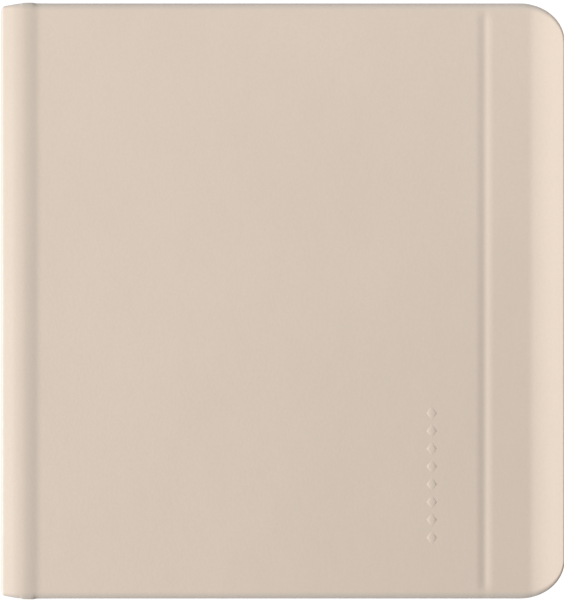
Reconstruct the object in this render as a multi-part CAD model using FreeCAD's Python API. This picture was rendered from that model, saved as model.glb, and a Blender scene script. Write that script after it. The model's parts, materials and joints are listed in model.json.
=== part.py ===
import math
import os

import FreeCAD
import Part

os.makedirs("parts", exist_ok=True)

# A seven-inch e-reader in a folio cover, closed and lying on its back.
# Origin: centre of the back face. +X towards the page buttons, +Y up the page, +Z out of the front.
# All sizes in millimetres.

# ---- driving dimensions -------------------------------------------------------------------
FOLIO_W = 159.0
FOLIO_H = 168.0
FOLIO_T = 14.0
CORNER_R = 12.0
LEATHER = 0.8
LINING = 0.5
BOARD_BACK = 1.1
BOARD_FRONT = 1.2
FOLD_R = 2.5
GUTTER_W = 4.4
SPINE_W = 6.0
SPINE_CREST = 0.3
SPINE_EDGE_R = 1.6
SPINE_SLOPE_DEG = 7.0
SPINE_BOARD = 0.8
SPINE_LINING = 0.4
GROOVE_FROM_EDGE = 22.2
GROOVE_HALF = 2.5
GROOVE_DEPTH = 1.0
GROOVE_GAP = 1.3
RISE_FROM_EDGE = 9.1
RISE_BEND = 3.0
RISE_DEG = 14.0

READER_W = 144.6
READER_H = 161.0
READER_T = 7.8
READER_CORNER = 8.0
WINDOW_W = 107.5
WINDOW_H = 143.0
THIN_BEZEL = 10.0
SHELL = 1.2
TRAY_WALL = 1.4
SLACK = 0.2
FOLD_GAP = 0.05
SCREW_R = 0.8
FILM_T = 0.3
TOUCH_T = 0.4
GUIDE_T = 0.45
EINK_T = 0.8

# ---- places that follow from them -------------------------------------------------------------
LEFT = -FOLIO_W / 2
RIGHT = FOLIO_W / 2
TOP = FOLIO_H / 2

Z_BOARD = LEATHER
Z_TRAY = Z_BOARD + BOARD_BACK
Z_PAD = Z_TRAY + 1.0
Z_READER = Z_PAD + 0.25
Z_FRONT = Z_READER + READER_T
Z_COVER_IN = FOLIO_T - LEATHER - BOARD_FRONT - LINING
Z_COVER_BOARD = Z_COVER_IN + LINING
Z_COVER_SKIN = Z_COVER_BOARD + BOARD_FRONT

FOLD_X = LEFT + FOLD_R
FOLD_BACK_Z = FOLD_R
BACK_X0 = FOLD_X + 1.2
SPINE_X1 = LEFT + SPINE_W
SPINE_Y = TOP - 0.4
Z_CREST = FOLIO_T + SPINE_CREST
PANEL_X0 = LEFT + SPINE_W + GUTTER_W
GROOVE_X = RIGHT - GROOVE_FROM_EDGE
RISE_X = RIGHT - RISE_FROM_EDGE
RISE_SLOPE = math.tan(math.radians(RISE_DEG))

# Where the spine's rounded edge meets its side, and its gently sloped front.
SPINE_TURN = math.radians(SPINE_SLOPE_DEG)
SPINE_EDGE_X = LEFT + SPINE_EDGE_R * (1 - math.sin(SPINE_TURN))
SPINE_EDGE_Z = Z_CREST - (SPINE_X1 - SPINE_EDGE_X) * math.tan(SPINE_TURN)
SPINE_Z1 = SPINE_EDGE_Z - SPINE_EDGE_R * math.cos(SPINE_TURN)

READER_X1 = RIGHT - 3.3
READER_X0 = READER_X1 - READER_W
READER_Y = READER_H / 2
WINDOW_X0 = READER_X0 + THIN_BEZEL
WINDOW_X1 = WINDOW_X0 + WINDOW_W
INSIDE_X0 = READER_X0 + SHELL
INSIDE_X1 = READER_X1 - SHELL
INSIDE_Y = READER_Y - SHELL

Z_PARTING = Z_READER + 4.2
Z_BEZEL_UNDER = Z_FRONT - SHELL
Z_FLOOR_IN = Z_READER + 1.0
Z_MID = Z_READER + 3.5
MID_T = 0.8
Z_MID_TOP = Z_MID + MID_T
Z_GUIDE = Z_BEZEL_UNDER - FILM_T - TOUCH_T - GUIDE_T
Z_PANEL = Z_GUIDE - EINK_T
STACK_MARGIN = 2.4
STACK_X0 = WINDOW_X0 - STACK_MARGIN
STACK_X1 = WINDOW_X1 + STACK_MARGIN
STACK_Y = WINDOW_H / 2 + STACK_MARGIN
PCB_X0 = 8.0
PCB_X1 = 42.0
PCB_Y1 = 38.0
PCB_T = 0.8
Z_PCB = Z_MID - 1.3
BATTERY_X0 = -55.0
BATTERY_X1 = 4.0

BUTTON_X = 64.0
BUTTON_W = 7.0
BUTTON_L = 24.0
BUTTON_Y = 15.0
BUTTON_PROUD = 0.2
POWER_X = 60.0
POWER_Y = 40.0
POWER_R = 4.5
POWER_HOLE_R = 6.0
USB_X = 29.0
USB_W = 9.0
USB_T = 3.1
USB_D = 7.2
USB_NOTCH_HALF = 8.5
Z_USB = Z_READER + 2.95
MAGNET_Y = (-68.0, -30.0, 30.0, 68.0)
SLEEP_X = 50.5
SLEEP_Y = 61.0


# ---- helpers ----------------------------------------------------------------------------------
def block(x0, y0, z0, x1, y1, z1):
    return Part.makeBox(x1 - x0, y1 - y0, z1 - z0, FreeCAD.Vector(x0, y0, z0))


def rod(x, y, z0, z1, r):
    return Part.makeCylinder(r, z1 - z0, FreeCAD.Vector(x, y, z0))


def rod_y(x, z, y0, y1, r):
    return Part.makeCylinder(r, y1 - y0, FreeCAD.Vector(x, y0, z), FreeCAD.Vector(0, 1, 0))


def fuse(shapes):
    result = shapes[0]
    for shape in shapes[1:]:
        result = result.fuse(shape)
    return result.removeSplitter()


def cut(shape, tools):
    for tool in tools:
        shape = shape.cut(tool)
    return shape


def plate(x0, x1, half_y, z0, z1, left_r, right_r):
    """A flat plate with rounded left and right corners."""
    corners = [
        (x1, half_y, right_r, 0),
        (x0, half_y, left_r, 90),
        (x0, -half_y, left_r, 180),
        (x1, -half_y, right_r, 270),
    ]
    edges = []
    ends = []
    for x, y, r, start in corners:
        cx = x - math.copysign(r, x - (x0 + x1) / 2)
        cy = y - math.copysign(r, y)
        points = []
        for turn in (0, 45, 90):
            angle = math.radians(start + turn)
            points.append(FreeCAD.Vector(cx + r * math.cos(angle), cy + r * math.sin(angle), z0))
        edges.append(Part.Arc(points[0], points[1], points[2]).toShape())
        ends.append((points[0], points[2]))
    for i in range(4):
        start = ends[i][1]
        end = ends[(i + 1) % 4][0]
        edges.append(Part.makeLine(start, end))
    wire = Part.Wire(Part.__sortEdges__(edges))
    return Part.Face(wire).extrude(FreeCAD.Vector(0, 0, z1 - z0))


def across(points, half_y):
    """A profile given as (x, z) points, drawn along Y."""
    corners = [FreeCAD.Vector(x, -half_y, z) for x, z in points]
    wire = Part.makePolygon(corners + [corners[0]])
    return Part.Face(wire).extrude(FreeCAD.Vector(0, 2 * half_y, 0))


def slot_box(x0, x1, y0, y1, z0, z1, r):
    """A block whose edges along Z are rounded."""
    shape = block(x0, y0, z0, x1, y1, z1)
    upright = [e for e in shape.Edges if abs(e.Vertexes[0].Z - e.Vertexes[1].Z) > 0.5 * (z1 - z0)]
    return shape.makeFillet(r, upright)


def save(name, shape):
    solids = shape.Solids
    volume = sum(s.Volume for s in solids)
    print(name, "solids", len(solids), "valid", shape.isValid(), "volume %.1f" % volume)
    if len(solids) == 1:
        shape = solids[0]
    shape.exportStep("parts/" + name + ".step")


# ---- the folio's outline ------------------------------------------------------------------------
def grip_rise(x):
    """How far the flap's surface has risen at x: a short bend, then an even slope."""
    past = x - RISE_X
    if past <= 0:
        return 0.0
    if past < RISE_BEND:
        return RISE_SLOPE * past * past / (2 * RISE_BEND)
    return RISE_SLOPE * (past - RISE_BEND / 2)


def flap_layer(depth0, depth1, x0, x1, half_y, right_r):
    """A layer of the flap between two depths below its outer face, bent up over the grip."""
    steps = 6
    places = [x0] + [RISE_X + RISE_BEND * i / steps for i in range(steps + 1)] + [x1]
    upper = [(x, FOLIO_T - depth0 + grip_rise(x)) for x in places]
    lower = [(x, FOLIO_T - depth1 + grip_rise(x)) for x in places]
    layer = across(upper + lower[::-1], half_y)
    outline = plate(x0 - 20.0, x1, half_y, 0.0, 2 * FOLIO_T, 1.0, right_r)
    return layer.common(outline)


# ---- back cover ---------------------------------------------------------------------------------
def power_hole():
    return rod(POWER_X, POWER_Y, -1.0, Z_READER, POWER_HOLE_R)


def back_leather():
    """The skin under the board, turned up round its three free edges."""
    outer = plate(FOLD_X, RIGHT, TOP, 0.0, Z_TRAY, 1.0, CORNER_R)
    rim = [e for e in outer.Edges if e.BoundBox.ZMax < 0.01 and e.BoundBox.XMin > FOLD_X + 0.5]
    outer = outer.makeFillet(0.5, rim)
    inner_r = CORNER_R - LEATHER
    pocket = plate(BACK_X0, RIGHT - LEATHER, TOP - LEATHER, Z_BOARD, Z_TRAY + 1.0, 0.6, inner_r)
    beside_fold = block(LEFT, -FOLIO_H, Z_BOARD, BACK_X0, FOLIO_H, Z_TRAY + 1.0)
    return cut(outer, [pocket, beside_fold, power_hole()])


def back_board():
    board = plate(BACK_X0, RIGHT - LEATHER, TOP - LEATHER, Z_BOARD, Z_TRAY, 0.6, CORNER_R - LEATHER)
    return cut(board, [power_hole()])


# ---- tray ---------------------------------------------------------------------------------------
def above_reader(grow):
    """Everything above the reader's front: flat over the screen, bending up to the grip edge."""
    z0 = Z_FRONT + grow
    x1 = RIGHT + 1.0
    bend = []
    for share in (0.0, 0.5, 1.0):
        x = RISE_X + share * RISE_BEND
        bend.append(FreeCAD.Vector(x, -FOLIO_H, z0 + grip_rise(x)))
    ends = [
        FreeCAD.Vector(x1, -FOLIO_H, z0 + grip_rise(x1)), FreeCAD.Vector(x1, -FOLIO_H, 2 * FOLIO_T),
        FreeCAD.Vector(LEFT, -FOLIO_H, 2 * FOLIO_T), FreeCAD.Vector(LEFT, -FOLIO_H, z0),
    ]
    corners = [bend[2]] + ends + [bend[0]]
    edges = [Part.Arc(bend[0], bend[1], bend[2]).toShape()]
    for start, end in zip(corners, corners[1:]):
        edges.append(Part.makeLine(start, end))
    return Part.Face(Part.Wire(edges)).extrude(FreeCAD.Vector(0, 2 * FOLIO_H, 0))


def tray_shell():
    """Low walls all round, taller at the corners, with lips over the reader's thin side."""
    low_top = Z_TRAY + 4.6
    clip_top = Z_FRONT + 0.25
    clip_len = 16.0
    lip_t = 1.5
    overlap = 0.8
    grow = SLACK + TRAY_WALL
    outer = plate(
        READER_X0 - grow, READER_X1 + grow, READER_Y + grow,
        Z_TRAY, clip_top, READER_CORNER + grow, READER_CORNER + grow,
    )
    inner = plate(
        READER_X0 - SLACK, READER_X1 + SLACK, READER_Y + SLACK,
        Z_PAD, clip_top + 1.0, READER_CORNER + SLACK, READER_CORNER + SLACK,
    )
    mouth = plate(
        READER_X0 + overlap, READER_X1 - overlap, READER_Y - overlap,
        Z_PAD, clip_top + 1.0, READER_CORNER - overlap, READER_CORNER - overlap,
    )
    walls = outer.cut(inner)
    lips = outer.cut(mouth).common(block(LEFT, -FOLIO_H, clip_top - lip_t, 0.0, FOLIO_H, clip_top))
    parts = [walls.common(block(LEFT, -FOLIO_H, Z_TRAY, RIGHT, FOLIO_H, low_top))]
    for x0, x1 in ((LEFT, READER_X0 + clip_len), (READER_X1 - clip_len, RIGHT)):
        for y0, y1 in ((-FOLIO_H, clip_len - READER_Y), (READER_Y - clip_len, FOLIO_H)):
            corner = block(x0, y0, Z_TRAY, x1, y1, clip_top)
            parts.append(walls.common(corner))
            if x0 < 0:
                parts.append(lips.common(corner).cut(reader_body(SLACK)))
    notch = block(
        USB_X - USB_NOTCH_HALF, -FOLIO_H, Z_PAD, USB_X + USB_NOTCH_HALF, -READER_Y + 1.0, FOLIO_T,
    )
    return cut(fuse(parts), [notch, power_hole()])


def tray_pad():
    margin = 2.0
    pad = plate(
        READER_X0 + margin, READER_X1 - margin, READER_Y - margin,
        Z_PAD, Z_READER, READER_CORNER - margin, READER_CORNER - margin,
    )
    return cut(pad, [rod(POWER_X, POWER_Y, 0.0, FOLIO_T, POWER_HOLE_R + 1.0)])


# ---- spine --------------------------------------------------------------------------------------
def fold_strip_back():
    """A quarter sleeve of leather round the spine's back edge."""
    sleeve = rod_y(FOLD_X, FOLD_BACK_Z, -SPINE_Y, SPINE_Y, FOLD_R)
    sleeve = sleeve.cut(rod_y(FOLD_X, FOLD_BACK_Z, -FOLIO_H, FOLIO_H, FOLD_R - LEATHER))
    room = block(LEFT - 1.0, -FOLIO_H, -1.0, FOLD_X - FOLD_GAP, FOLIO_H, FOLD_BACK_Z - FOLD_GAP)
    return sleeve.common(room)


def spine_edge(inset):
    """The spine's front, inset from its outer face: a tight corner, then a gentle rise."""
    r = SPINE_EDGE_R - inset
    centre_x = LEFT + SPINE_EDGE_R
    points = []
    for share in (0.0, 0.5, 1.0):
        angle = share * (math.pi / 2 - SPINE_TURN)
        x = centre_x - r * math.cos(angle)
        z = SPINE_Z1 + r * math.sin(angle)
        points.append(FreeCAD.Vector(x, -SPINE_Y, z))
    crest = FreeCAD.Vector(SPINE_X1, -SPINE_Y, Z_CREST - inset)
    below = FreeCAD.Vector(SPINE_X1, -SPINE_Y, SPINE_Z1)
    edges = [Part.Arc(points[0], points[1], points[2]).toShape()]
    for start, end in ((points[2], crest), (crest, below), (below, points[0])):
        edges.append(Part.makeLine(start, end))
    return Part.Face(Part.Wire(edges)).extrude(FreeCAD.Vector(0, 2 * SPINE_Y, 0))


def fold_strip_front():
    """The leather round the spine's front edge, from its side to its crest."""
    strip = spine_edge(0.0).cut(spine_edge(LEATHER))
    room = block(LEFT - 1.0, -FOLIO_H, SPINE_Z1 + FOLD_GAP, SPINE_X1 - FOLD_GAP, FOLIO_H, 2 * FOLIO_T)
    return strip.common(room)


def spine_leather():
    return block(LEFT, -SPINE_Y, FOLD_BACK_Z, LEFT + LEATHER, SPINE_Y, SPINE_Z1)


def spine_strip(depth, thick):
    """A strip inside the spine, at a depth below its outer face."""
    y1 = TOP - 1.2
    return block(LEFT + depth, -y1, FOLD_BACK_Z + 0.6, LEFT + depth + thick, y1, SPINE_Z1 - 0.2)


def spine_board():
    return spine_strip(LEATHER, SPINE_BOARD)


def spine_lining():
    return spine_strip(LEATHER + SPINE_BOARD, SPINE_LINING)


# ---- front cover ----------------------------------------------------------------------------------
def groove_end(side):
    """The x where the cover's solids stop on one side of the groove."""
    return GROOVE_X + side * GROOVE_GAP


def front_leather():
    x1 = groove_end(-1)
    valley = FOLIO_T - 0.1
    gutter = across([
        (SPINE_X1 + FOLD_GAP, Z_CREST), (PANEL_X0, valley), (PANEL_X0, valley - LEATHER),
        (SPINE_X1 + FOLD_GAP, Z_CREST - LEATHER),
    ], SPINE_Y)
    panel = across([
        (PANEL_X0, Z_COVER_IN), (x1, Z_COVER_IN), (x1, FOLIO_T - GROOVE_DEPTH * 0.5),
        (GROOVE_X - GROOVE_HALF, FOLIO_T), (PANEL_X0, FOLIO_T),
    ], TOP)
    rim = [e for e in panel.Edges if e.BoundBox.ZMin > FOLIO_T - 0.01 and e.BoundBox.XMin < 0.0]
    panel = panel.makeFillet(0.7, rim)
    pocket = block(PANEL_X0 + LEATHER, -TOP + LEATHER, 0.0, x1 + 1.0, TOP - LEATHER, Z_COVER_SKIN)
    return fuse([gutter, panel.cut(pocket)])


def front_board():
    x1 = GROOVE_X - GROOVE_HALF
    board = block(PANEL_X0 + LEATHER, -TOP + LEATHER, Z_COVER_BOARD, x1, TOP - LEATHER, Z_COVER_SKIN)
    return cut(board, [sleep_magnet_space(0.1)])


def front_lining():
    x1 = groove_end(-1)
    return block(PANEL_X0 + LEATHER, -TOP + LEATHER, Z_COVER_IN, x1, TOP - LEATHER, Z_COVER_BOARD)


def sleep_magnet_space(grow):
    half_w = 2.5 + grow
    half_l = 5.0 + grow
    return block(
        SLEEP_X - half_w, SLEEP_Y - half_l, Z_COVER_BOARD + 0.2 - grow,
        SLEEP_X + half_w, SLEEP_Y + half_l, Z_COVER_SKIN - 0.1 + grow,
    )


def sleep_magnet():
    return sleep_magnet_space(0.0)


def flap_leather():
    x0 = groove_end(1)
    depth = FOLIO_T - Z_COVER_IN
    outer = flap_layer(0.0, depth, x0, RIGHT, TOP, CORNER_R)
    wedge = across([
        (x0 - 0.1, FOLIO_T - GROOVE_DEPTH * 0.5), (GROOVE_X + GROOVE_HALF, FOLIO_T),
        (GROOVE_X + GROOVE_HALF, FOLIO_T + 1.0), (x0 - 0.1, FOLIO_T + 1.0),
    ], FOLIO_H)
    core = flap_layer(
        LEATHER, depth + 1.0, x0 - 1.0, RIGHT - LEATHER, TOP - LEATHER, CORNER_R - LEATHER,
    )
    return cut(outer, [wedge, core])


def flap_magnet_rods(z0, z1, r):
    return [rod(RISE_X - 3.4, y, z0, z1, r) for y in MAGNET_Y]


def flap_board():
    x0 = GROOVE_X + GROOVE_HALF
    board = flap_layer(
        LEATHER, LEATHER + BOARD_FRONT, x0, RIGHT - LEATHER, TOP - LEATHER, CORNER_R - LEATHER,
    )
    return cut(board, flap_magnet_rods(Z_COVER_BOARD - 1.0, Z_COVER_BOARD + 1.0, 3.1))


def flap_magnets():
    return Part.makeCompound(flap_magnet_rods(Z_COVER_BOARD, Z_COVER_BOARD + 0.95, 3.0))


def flap_lining():
    depth = FOLIO_T - Z_COVER_BOARD
    return flap_layer(
        depth, depth + LINING, groove_end(1), RIGHT - LEATHER, TOP - LEATHER, CORNER_R - LEATHER,
    )


def groove_strip():
    """The thinned leather at the bottom of the groove."""
    z1 = FOLIO_T - GROOVE_DEPTH
    x0 = groove_end(-1) + FOLD_GAP
    x1 = groove_end(1) - FOLD_GAP
    y1 = TOP - 0.6
    return block(x0, -y1, z1 - LEATHER, x1, y1, z1)


# ---- reader: casing -------------------------------------------------------------------------------
def reader_body(grow):
    """The reader's outer form, with its front rising to the grip edge and its back edges rounded."""
    body = plate(
        READER_X0 - grow, READER_X1 + grow, READER_Y + grow,
        Z_READER - grow, FOLIO_T, READER_CORNER + grow, READER_CORNER + grow,
    )
    body = cut(body, [above_reader(grow)])
    front = [e for e in body.Edges if e.BoundBox.ZMin > Z_FRONT + grow - 0.01 and not crease(e)]
    body = body.makeFillet(0.9, front)
    back = [e for e in body.Edges if e.BoundBox.ZMax < Z_READER - grow + 0.01]
    return body.makeFillet(1.6, back)


def crease(edge):
    """Whether an edge is one of the lines across the front where its bend starts and ends."""
    box = edge.BoundBox
    return box.XLength < 0.01 and RISE_X - 0.01 < box.XMin < RISE_X + RISE_BEND + 0.01


def screw_places():
    sides = [(READER_X0 + 4.0, y) for y in (-60.0, 0.0, 60.0)]
    grip = [(READER_X1 - 4.6, y) for y in (-60.0, 0.0, 60.0)]
    ends = [(x, side * (READER_Y - 3.8)) for x in (-20.0, 10.0) for side in (-1, 1)]
    return sides + grip + ends


def usb_opening(grow, y0, y1):
    core = block(
        USB_X - USB_W / 2 + USB_T / 2, y0, Z_USB - USB_T / 2 - grow,
        USB_X + USB_W / 2 - USB_T / 2, y1, Z_USB + USB_T / 2 + grow,
    )
    ends = [
        rod_y(USB_X + side * (USB_W - USB_T) / 2, Z_USB, y0, y1, USB_T / 2 + grow)
        for side in (-1, 1)
    ]
    return fuse([core] + ends)


def usb_clearance(y1):
    """The room the port needs, up to y1."""
    return block(USB_X - 6.0, -FOLIO_H, 0.0, USB_X + 6.0, y1, FOLIO_T)


def inside(z0, z1, inset=0.0):
    """The space inside the casing's walls between two heights."""
    r = READER_CORNER - SHELL - inset
    return plate(INSIDE_X0 + inset, INSIDE_X1 - inset, INSIDE_Y - inset, z0, z1, r, r)


def front_bezel():
    upper = block(LEFT, -FOLIO_H, Z_PARTING, RIGHT, FOLIO_H, 2 * FOLIO_T)
    body = reader_body(0.0).common(upper)
    body = body.cut(inside(Z_PARTING - 1.0, Z_BEZEL_UNDER))
    window = slot_box(
        WINDOW_X0, WINDOW_X1, -WINDOW_H / 2, WINDOW_H / 2, Z_BEZEL_UNDER - 1.0, Z_FRONT + 1.0, 1.0,
    )
    port = usb_opening(0.15, -FOLIO_H, -INSIDE_Y + 0.5)
    for y in (BUTTON_Y, -BUTTON_Y):
        body = body.cut(button_block(y, SLACK, Z_BEZEL_UNDER - 1.0, Z_FRONT + 1.0, 2.0))
    body = cut(body, [window, port])
    bosses = [rod(x, y, Z_MID_TOP, Z_BEZEL_UNDER + 0.05, 1.7) for x, y in screw_places()]
    threads = [rod(x, y, Z_MID_TOP - 1.0, Z_MID_TOP + 1.6, SCREW_R) for x, y in screw_places()]
    return cut(fuse([body] + bosses), threads)


def rear_housing():
    lower = block(LEFT, -FOLIO_H, 0.0, RIGHT, FOLIO_H, Z_PARTING)
    body = reader_body(0.0).common(lower)
    body = body.cut(inside(Z_FLOOR_IN, Z_PARTING + 1.0))
    hole = rod(POWER_X, POWER_Y, 0.0, Z_FLOOR_IN + 1.0, POWER_R + 0.2)
    port = usb_opening(0.15, -FOLIO_H, -INSIDE_Y + 0.5)
    return cut(body, [hole, port])


def perimeter_seal():
    outer = inside(Z_PARTING - 0.4, Z_PARTING + 0.35, 0.05)
    return cut(outer, [inside(Z_PARTING - 1.0, Z_PARTING + 1.0, 0.6), usb_clearance(-INSIDE_Y + 2.0)])


# ---- reader: display stack ------------------------------------------------------------------------
def display_layer(z0, thick, short=0.0):
    """A layer of the display, which may stop short of the others at the bottom end."""
    return block(STACK_X0, -STACK_Y + short, z0, STACK_X1, STACK_Y, z0 + thick)


def cover_film():
    return display_layer(Z_BEZEL_UNDER - FILM_T, FILM_T)


def touch_panel():
    return display_layer(Z_GUIDE + GUIDE_T, TOUCH_T)


def light_guide():
    return display_layer(Z_GUIDE, GUIDE_T, 1.6)


def eink_panel():
    return display_layer(Z_PANEL, EINK_T)


def leds():
    """A row of small lamps along the guide's bottom edge."""
    pitch = 10.0
    count = 10
    half_l = 1.4
    y0 = -STACK_Y + 0.9
    lamps = []
    for i in range(count):
        x = (STACK_X0 + STACK_X1) / 2 + (i - (count - 1) / 2) * pitch
        lamps.append(block(x - half_l, y0, Z_GUIDE + 0.05, x + half_l, y0 + 0.65, Z_GUIDE + 0.4))
    return Part.makeCompound(lamps)


def led_strip():
    y0 = -STACK_Y + 0.6
    return block(STACK_X0 + 1.0, y0, Z_GUIDE + 0.02, STACK_X1 - 1.0, y0 + 0.25, Z_GUIDE + 0.43)


def flex_slot():
    return block(STACK_X1 + 0.6, -20.0, Z_MID - 1.0, STACK_X1 + 2.4, 14.0, Z_MID_TOP + 1.0)


def display_flex():
    """A ribbon from the panel's edge, down through the frame and in under it."""
    thick = 0.2
    x_in = STACK_X1 - 6.0
    x_out = STACK_X1 + 1.6
    z_top = Z_PANEL + 0.5
    z_low = Z_MID - 0.45
    ribbon = across([
        (STACK_X1, z_top), (x_out, z_top), (x_out, z_low - thick), (x_in, z_low - thick),
        (x_in, z_low), (x_out - thick, z_low), (x_out - thick, z_top - thick), (STACK_X1, z_top - thick),
    ], 14.0)
    ribbon.translate(FreeCAD.Vector(0, -3.0, 0))
    return ribbon


# ---- reader: chassis and electronics --------------------------------------------------------------
def mid_frame():
    frame = inside(Z_MID, Z_MID_TOP, 0.8)
    holes = [rod(x, y, Z_MID - 1.0, Z_MID_TOP + 1.0, SCREW_R) for x, y in screw_places()]
    pockets = grip_magnet_rods(Z_MID_TOP - 0.5, Z_MID_TOP + 1.0, 2.6)
    return cut(frame, holes + [usb_clearance(-READER_Y + 9.6), flex_slot()] + pockets)


def grip_magnet_rods(z0, z1, r):
    return [rod(READER_X1 - 5.7, y, z0, z1, r) for y in MAGNET_Y]


def grip_magnets():
    return Part.makeCompound(grip_magnet_rods(Z_MID_TOP - 0.45, Z_MID_TOP + 0.9, 2.5))


def frame_screws():
    screws = []
    for x, y in screw_places():
        shank = rod(x, y, Z_MID - 0.01, Z_MID_TOP + 1.4, SCREW_R - 0.06)
        head = rod(x, y, Z_MID - 0.55, Z_MID, 1.4)
        slot = fuse([
            block(x - long, y - wide, Z_MID - 1.0, x + long, y + wide, Z_MID - 0.3)
            for long, wide in ((0.8, 0.16), (0.16, 0.8))
        ])
        screws.append(fuse([shank, head]).cut(slot))
    return Part.makeCompound(screws)


def battery():
    half_l = 44.0
    return slot_box(BATTERY_X0, BATTERY_X1, -half_l, half_l, Z_FLOOR_IN + 0.1, Z_MID - 0.1, 1.0)


def battery_flex():
    return block(BATTERY_X1, 24.0, Z_MID - 0.4, PCB_X0 + 7.0, 31.0, Z_MID - 0.2)


def main_board():
    y0 = -INSIDE_Y + 7.2
    board = block(PCB_X0, y0, Z_PCB, PCB_X1, PCB_Y1, Z_PCB + PCB_T)
    holes = [rod(x, y, 0.0, FOLIO_T, 1.7) for x, y in screw_places() if PCB_X0 < x < PCB_X1 and y > y0]
    return cut(board, holes)


def shield_can():
    """A thin lid over the main chips, open towards the circuit board."""
    z0 = Z_FLOOR_IN + 0.1
    x0 = PCB_X0 + 4.0
    x1 = PCB_X1 - 6.0
    y0 = -30.0
    y1 = 2.0
    sheet = 0.25
    can = slot_box(x0, x1, y0, y1, z0, Z_PCB, 0.8)
    return can.cut(block(x0 + sheet, y0 + sheet, z0 + sheet, x1 - sheet, y1 - sheet, Z_PCB + 1.0))


def board_chips():
    """The processor, memory, power and radio chips, each as x, y, width, length."""
    z0 = Z_FLOOR_IN + 0.4
    chips = [
        (16.0, -24.0, 12.0, 12.0), (16.0, -9.0, 10.0, 8.0), (14.0, 8.0, 7.0, 7.0),
        (26.0, 8.0, 8.0, 6.0), (14.0, -52.0, 5.0, 6.0), (26.0, -58.0, 4.0, 4.0),
    ]
    return Part.makeCompound([block(x, y, z0, x + w, y + length, Z_PCB) for x, y, w, length in chips])


def usb_receptacle():
    """A metal shell closed at the back, with a flat tongue inside it."""
    y0 = -READER_Y + 0.3
    y1 = y0 + USB_D
    sheet = 0.3
    shell = usb_opening(0.0, y0, y1).cut(usb_opening(-sheet, y0 - 1.0, y1 - 2 * sheet))
    tongue = block(USB_X - 3.3, y0 + 0.8, Z_USB - 0.35, USB_X + 3.3, y1 - 0.5, Z_USB + 0.35)
    return fuse([shell, tongue])


def usb_seal():
    y0 = -INSIDE_Y + 0.05
    ring = usb_opening(0.35, y0, y0 + 0.8)
    return ring.cut(usb_opening(0.05, y0 - 1.0, y0 + 2.0))


def wifi_antenna():
    """A strip of foil with a slot in it, along the top edge."""
    z0 = Z_FLOOR_IN + 0.02
    x0 = -40.0
    x1 = -8.0
    y0 = 66.0
    foil = block(x0, y0, z0, x1, y0 + 8.0, z0 + 0.15)
    return foil.cut(block(x0 + 2.0, y0 + 2.0, z0 - 1.0, x1 - 4.0, y0 + 4.0, z0 + 1.0))


def button_board():
    z0 = Z_MID_TOP
    board = block(STACK_X1 + 3.2, -36.0, z0, STACK_X1 + 14.5, 64.0, z0 + 0.6)
    screws = [rod(x, y, z0 - 1.0, z0 + 3.0, 2.2) for x, y in screw_places()]
    return cut(board, screws)


def dome_switches():
    z0 = Z_MID_TOP + 0.6
    domes = []
    for button_y in (-BUTTON_Y, BUTTON_Y):
        for y in (button_y - BUTTON_L / 4, button_y + BUTTON_L / 4):
            domes.append(Part.makeCone(1.9, 1.2, 0.45, FreeCAD.Vector(BUTTON_X - 1.0, y, z0)))
    return Part.makeCompound(domes)


def hall_sensor():
    z0 = Z_MID_TOP + 0.6
    return block(STACK_X1 + 3.6, 60.0, z0, STACK_X1 + 6.5, 61.6, z0 + 1.0)


def power_switch():
    z1 = Z_MID - 0.05
    half = 2.6
    body = block(POWER_X - half, POWER_Y - half, z1 - 0.7, POWER_X + half, POWER_Y + half, z1)
    plunger = rod(POWER_X, POWER_Y, z1 - 0.8, z1 - 0.7, 1.2)
    return fuse([body, plunger])


# ---- reader: moving buttons ------------------------------------------------------------------------
def button_block(y, grow, z0, z1, r):
    """A block of the page button's outline, larger all round by grow."""
    half_w = BUTTON_W / 2 + grow
    half_l = BUTTON_L / 2 + grow
    return slot_box(BUTTON_X - half_w, BUTTON_X + half_w, y - half_l, y + half_l, z0, z1, r)


def page_button(y):
    """A cap that stands just proud of the front, with a flange that keeps it in."""
    top = Z_FRONT + BUTTON_PROUD
    cap = button_block(y, 0.0, Z_BEZEL_UNDER - 0.15, top, 1.8)
    rim = [e for e in cap.Edges if e.BoundBox.ZMin > top - 0.01]
    cap = cap.makeFillet(0.35, rim)
    flange = button_block(y, 0.7, Z_BEZEL_UNDER - 0.65, Z_BEZEL_UNDER - 0.12, 2.2)
    return fuse([cap, flange])


def page_forward_button():
    return page_button(BUTTON_Y)


def page_back_button():
    return page_button(-BUTTON_Y)


def power_button():
    bottom = Z_READER - 0.05
    cap = rod(POWER_X, POWER_Y, bottom, Z_FLOOR_IN + 0.1, POWER_R)
    rim = [e for e in cap.Edges if e.BoundBox.ZMax < bottom + 0.01]
    cap = cap.makeFillet(0.3, rim)
    flange = rod(POWER_X, POWER_Y, Z_FLOOR_IN + 0.08, Z_FLOOR_IN + 0.5, POWER_R + 0.8)
    return fuse([cap, flange])


# ---- write every piece ------------------------------------------------------------------------------
PIECES = [
    back_leather, back_board, tray_shell, tray_pad, fold_strip_back, fold_strip_front,
    spine_leather, spine_board, spine_lining,
    front_leather, front_board, front_lining, sleep_magnet, groove_strip,
    flap_leather, flap_board, flap_lining, flap_magnets,
    rear_housing, front_bezel, perimeter_seal, frame_screws,
    cover_film, touch_panel, light_guide, led_strip, leds, eink_panel, display_flex,
    mid_frame, grip_magnets, battery, battery_flex, main_board, shield_can, board_chips,
    usb_receptacle, usb_seal, wifi_antenna, button_board, dome_switches, hall_sensor, power_switch,
    page_forward_button, page_back_button, power_button,
]

for make in PIECES:
    save(make.__name__, make())
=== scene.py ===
import json
import math

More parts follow.
